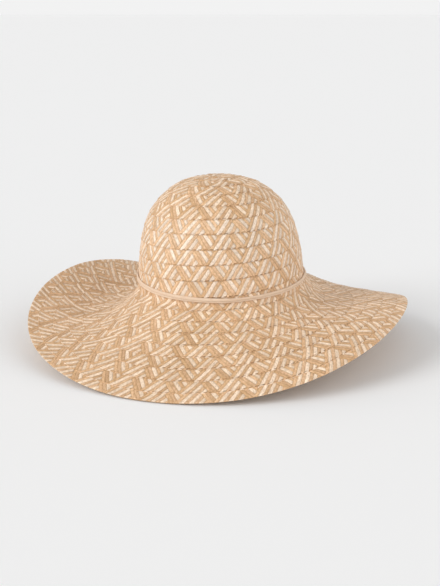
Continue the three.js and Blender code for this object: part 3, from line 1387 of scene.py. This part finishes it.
@dataclass
class Shell:
    """The thin body of the braid under its straws, from one row to another, or to the brim's edge."""

    surface: HatSurface
    name: str
    first_row: float
    last_row: float | None = None
    top: float = 1.18 * MM
    bottom: float = 1.40 * MM
    columns: int = 180
    rings_each_row: int = 5
    tip_gap: float = 0.02
    edge_gap: float = 0.015
    lip: float = 0.55 * MM
    lip_share: float = 1 / 32
    lip_below: float = 0.6

    def build(self, finish: bpy.types.Material) -> Thing:
        """Builds the closed shell.

        Args:
            finish: Its material.

        Returns:
            The piece.
        """
        angle = np.arange(self.columns) * FULL_TURN / self.columns
        at_edge = self.last_row is None
        rim = self.surface.form.rim_row(angle) if at_edge else np.full(angle.shape, self.last_row)
        from_tip = self.first_row <= self.surface.tip_row
        low = self.first_row + (self.tip_gap if from_tip else 0.0)
        share = np.linspace(0, 1, int((float(rim.max()) - self.first_row) * self.rings_each_row))[:, None]
        row = low + (rim - self.edge_gap - low) * share
        lip = self.lip * smoothstep(share, 1 - self.lip_share, 1.0) if at_edge else np.zeros(share.shape)
        outer = self.surface.at(angle, row, lip - self.top)[0]
        inner = self.surface.at(angle, row, -lip * self.lip_below - self.bottom)[0]
        rings = np.concatenate([outer, inner[::-1]])
        points = rings.reshape(-1, 3)
        faces = grid_faces(len(rings), self.columns, True)[:, ::-1].tolist()
        last = len(points) - self.columns
        joins = [(i, (i + 1) % self.columns) for i in range(self.columns)]
        if from_tip:
            middle = len(points)
            points = np.concatenate([points, [rings[0].mean(axis=0), rings[-1].mean(axis=0)]])
            faces += [[i, j, middle] for i, j in joins] + [[last + j, last + i, middle + 1] for i, j in joins]
        else:
            faces += [[i, j, last + j, last + i] for i, j in joins]
        piece = mesh_object(self.name, points, faces)
        piece.data.materials.append(finish)
        return piece


@dataclass
class BraidWork:
    """A part of the hat that is laid from the braid."""

    layer: BraidLayer
    palette: Palette
    faces: dict[Side, Face]
    foot_lay: float = 1.5

    def repeats(self, *lays: float) -> list[int]:
        """Numbers of the repeats at places in the winding."""
        return [self.layer.repeat_at(lay) for lay in lays]

    def dress(self, node: str, *runs: Run) -> None:
        """Lays runs of the braid in place of a solid."""
        for run in runs:
            finish_piece(self.layer.lay(run), node)


@dataclass
class Crown(BraidWork):
    """The domed crown: the braid from the tip of the crown down to the band."""

    shoulder_lay: float = -3.5

    def build(self) -> None:
        """Builds the crown's shell and its straws, outside and inside."""
        surface, palette = self.layer.surface, self.palette
        foot, shoulder, top = self.repeats(self.foot_lay, self.shoulder_lay, surface.tip_row)
        shell = Shell(surface, "crown_shell", surface.tip_row, surface.form.ring_row).build(palette.deep)
        finish_piece(shell, "crown")
        outside, inside = self.faces[Side.OUTSIDE], self.faces[Side.INSIDE]
        self.dress(
            "crown",
            Run("crown_side_straws", outside, foot, shoulder, seed=11, finish=palette.straw),
            Run("crown_top_straws", outside, shoulder, top, seed=12, finish=palette.upward_shaded),
            Run("crown_inside_straws", inside, foot, top, seed=21, finish=palette.straw),
        )


@dataclass
class Brim(BraidWork):
    """The wide drooping brim: the braid from the band out to its tapered end."""

    middle_lay: float = 6.5

    def build(self) -> None:
        """Builds the brim's shell and its straws, above and below."""
        surface, palette = self.layer.surface, self.palette
        foot, middle = self.repeats(self.foot_lay, self.middle_lay)
        shell = Shell(surface, "brim_shell", surface.form.ring_row).build(palette.deep)
        finish_piece(shell, "brim")
        outside, inside = self.faces[Side.OUTSIDE], self.faces[Side.INSIDE]
        self.dress(
            "brim",
            Run("brim_outer_straws", outside, 0, middle, seed=31, finish=palette.upward_shaded),
            Run("brim_inner_straws", outside, middle, foot, seed=32, finish=palette.upward_shaded),
            Run("brim_underside_straws", inside, 0, foot, seed=41, finish=palette.straw),
        )


@dataclass
class Seams(BraidWork):
    """The thread that sews each row over the next, left off at the very edge and the very tip."""

    stitches: StitchPattern = StitchPattern()
    unsewn_edge: float = 0.24
    unsewn_tip: float = 0.6

    def build(self) -> None:
        """Lays the stitches along the braid."""
        surface, thread = self.layer.surface, self.palette.thread
        edge, foot, top = self.repeats(
            surface.form.edge_rows - self.unsewn_edge, self.foot_lay, surface.tip_row + self.unsewn_tip,
        )
        face = Face(self.stitches.tile("stitch_repeat"), self.faces[Side.OUTSIDE].guide, 0.0)
        self.dress("brim", Run("brim_stitches", face, edge, foot, seed=51, finish=thread))
        self.dress("crown", Run("crown_stitches", face, foot, top, seed=51, finish=thread))
        bpy.data.objects.remove(face.tile)


@dataclass
class Band:
    """The narrow flat cord around the foot of the crown."""

    surface: HatSurface
    height: float = 4.9 * MM
    thickness: float = 1.4 * MM
    seat: float = 0.25 * MM
    middle_row: float = 1.13
    tilt_rows: float = 0.29
    tilt_toward: float = math.radians(-10)
    sway: Wave = Wave(0.25 * MM, 3, 0.0, 0.7)
    slack: Wave = Wave(0.10 * MM, 7, 900.0, 0.0)
    small_slack: Wave = Wave(0.08 * MM, 17, 0.0, 1.0)
    columns: int = 240
    # Share of the height, from the top, and share of the thickness
    profile: tuple[tuple[float, float], ...] = (
        (0.0, 0.05), (0.0, 0.40), (0.04, 0.75), (0.12, 0.95), (0.24, 1.0), (0.34, 0.90), (0.38, 0.40),
        (0.42, 0.90), (0.56, 1.0), (0.76, 1.0), (0.90, 0.90), (0.97, 0.68), (1.0, 0.35), (1.0, 0.05),
        (0.75, 0.0), (0.5, 0.0), (0.25, 0.0),
    )

    def build(self, finish: bpy.types.Material) -> None:
        """Builds the band as a closed ring with two soft ribs, lying on the foot of the crown.

        Args:
            finish: Its material.
        """
        form = self.surface.form
        up, out = (np.array(self.profile) * (self.height, self.thickness)).T[..., None]
        angle = np.arange(self.columns) * FULL_TURN / self.columns
        middle = self.middle_row + self.tilt_rows * np.cos(angle - self.tilt_toward)
        row = middle + (self.height / 2 - up + self.sway.at(angle)) / ROW_PITCH
        loose = self.slack.at(angle, up) + self.small_slack.at(angle)
        rings, _ = self.surface.at(angle, row, self.seat + out + loose)
        numbers = np.arange(len(self.profile) * self.columns).reshape(-1, self.columns)
        after = np.roll(numbers, -1, axis=1)
        faces = np.stack([numbers, after, np.roll(after, -1, axis=0), np.roll(numbers, -1, axis=0)], axis=-1)
        piece = mesh_object("hat_band", rings.reshape(-1, 3), faces.reshape(-1, 4).tolist())
        place = np.stack(np.broadcast_arrays(angle * form.ring_half_length, out + up), axis=-1) / MM
        store_map(piece.data, "cord", place.reshape(-1, 2))
        piece.data.materials.append(finish)
        finish_piece(piece, "band")


@dataclass(frozen=True)
class Lamp:
    """A soft light from far away, with its direction and its width in degrees."""

    name: str
    azimuth: float
    elevation: float
    power: float
    width: float

    def build(self) -> None:
        """Places the light."""
        light = bpy.data.lights.new(self.name, "SUN")
        light.energy = self.power
        light.angle = math.radians(self.width)
        lamp = add_object(self.name, light)
        lamp.rotation_euler = (math.radians(90 - self.elevation), 0.0, math.radians(self.azimuth))


@dataclass
class Studio:
    """The pale floor, the soft light and the camera at the photograph's angle."""

    target: tuple[float, float, float]
    elevation: float = 15.0
    distance: float = 1.1276
    focal_pixels: float = 1000.0
    sensor_width: float = 36.0
    sight: tuple[float, float] = (0.01, 300.0)
    picture: tuple[int, int] = (440, 586)
    target_pixel: tuple[float, float] = (220.79, 276.77)
    floor_reach: float = 60.0
    floor_depth: float = 0.2 * MM
    floor_grey: float = 0.94
    sky_heights: tuple[float, float] = (0.1, 0.9)
    backdrop: float = 0.89
    overhead: float = 0.48
    lamps: tuple[Lamp, ...] = (
        Lamp("key", azimuth=-64.0, elevation=30.0, power=1.42, width=35.0),
        Lamp("fill", azimuth=60.0, elevation=26.0, power=0.62, width=60.0),
    )

    def build(self) -> None:
        """Builds the floor, the lights and the camera."""
        self.floor()
        self.sky()
        for lamp in self.lamps:
            lamp.build()
        self.camera()
        bpy.context.scene.view_settings.view_transform = "Standard"

    def floor(self) -> None:
        """A wide pale floor, just under the hat."""
        reach, low = self.floor_reach, -self.floor_depth
        corners = [(-reach, -reach, low), (reach, -reach, low), (reach, reach, low), (-reach, reach, low)]
        floor = mesh_object("floor", np.array(corners), [[0, 1, 2, 3]])
        material, sheet = new_material("floor", WHITE)
        shader = sheet.add("ShaderNodeBsdfPrincipled", {
            "Base Color": (self.floor_grey, self.floor_grey, self.floor_grey, 1.0), "Roughness": 1.0,
            "Specular IOR Level": 0.0,
        })
        sheet.add("ShaderNodeOutputMaterial", {0: shader.outputs[0]})
        floor.data.materials.append(material)

    def sky(self) -> None:
        """Even light from all round, brighter toward the horizon."""
        world = bpy.data.worlds.new("studio")
        world.use_nodes = True
        sheet = NodeSheet(world.node_tree)
        toward = sheet.add("ShaderNodeTexCoord").outputs["Generated"]
        height = sheet.add("ShaderNodeSeparateXYZ", {0: toward}).outputs[2]
        light = sheet.ranged(height, *self.sky_heights, self.backdrop, self.overhead)
        background = world.node_tree.nodes["Background"]
        background.inputs["Color"].default_value = (*WHITE, 1.0)
        world.node_tree.links.new(light, background.inputs["Strength"])
        bpy.context.scene.world = world

    def camera(self) -> None:
        """A camera that looks at the head ring as the photograph does."""
        lens = bpy.data.cameras.new("camera")
        long_side = max(self.picture)
        lens.sensor_width = self.sensor_width
        lens.lens = self.sensor_width * self.focal_pixels / long_side
        lens.shift_x = (self.picture[0] / 2 - self.target_pixel[0]) / long_side
        lens.shift_y = (self.target_pixel[1] - self.picture[1] / 2) / long_side
        lens.clip_start, lens.clip_end = self.sight
        camera = add_object("camera", lens)
        tilt = math.radians(self.elevation)
        x, y, z = self.target
        camera.location = (x, y - self.distance * math.cos(tilt), z + self.distance * math.sin(tilt))
        camera.rotation_euler = (math.pi / 2 - tilt, 0.0, 0.0)
        bpy.context.scene.camera = camera


def main() -> None:
    """Builds the hat and the studio in order."""
    logging.basicConfig(level=logging.INFO, format="%(name)s %(message)s")
    low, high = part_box("crown")
    centre = ((low.x + high.x) / 2, (low.y + high.y) / 2, high.z - HatForm.crown_height)
    surface = HatSurface(HatForm(centre=centre))
    layer = BraidLayer(surface, BraidPattern())
    LOG.info("braid: %.1f repeats of %.4f m, tip row %.3f", layer.along[0], layer.pattern.repeat, surface.tip_row)
    palette = Palette.mixed()
    faces = {side: layer.face(side) for side in Side}
    for part in (Crown, Brim, Seams):
        part(layer, palette, faces).build()
    for face in faces.values():
        bpy.data.objects.remove(face.tile)
        bpy.data.objects.remove(face.guide)
    Band(surface).build(palette.cord)
    Studio(target=centre).build()


if __name__ == "__main__":
    main()
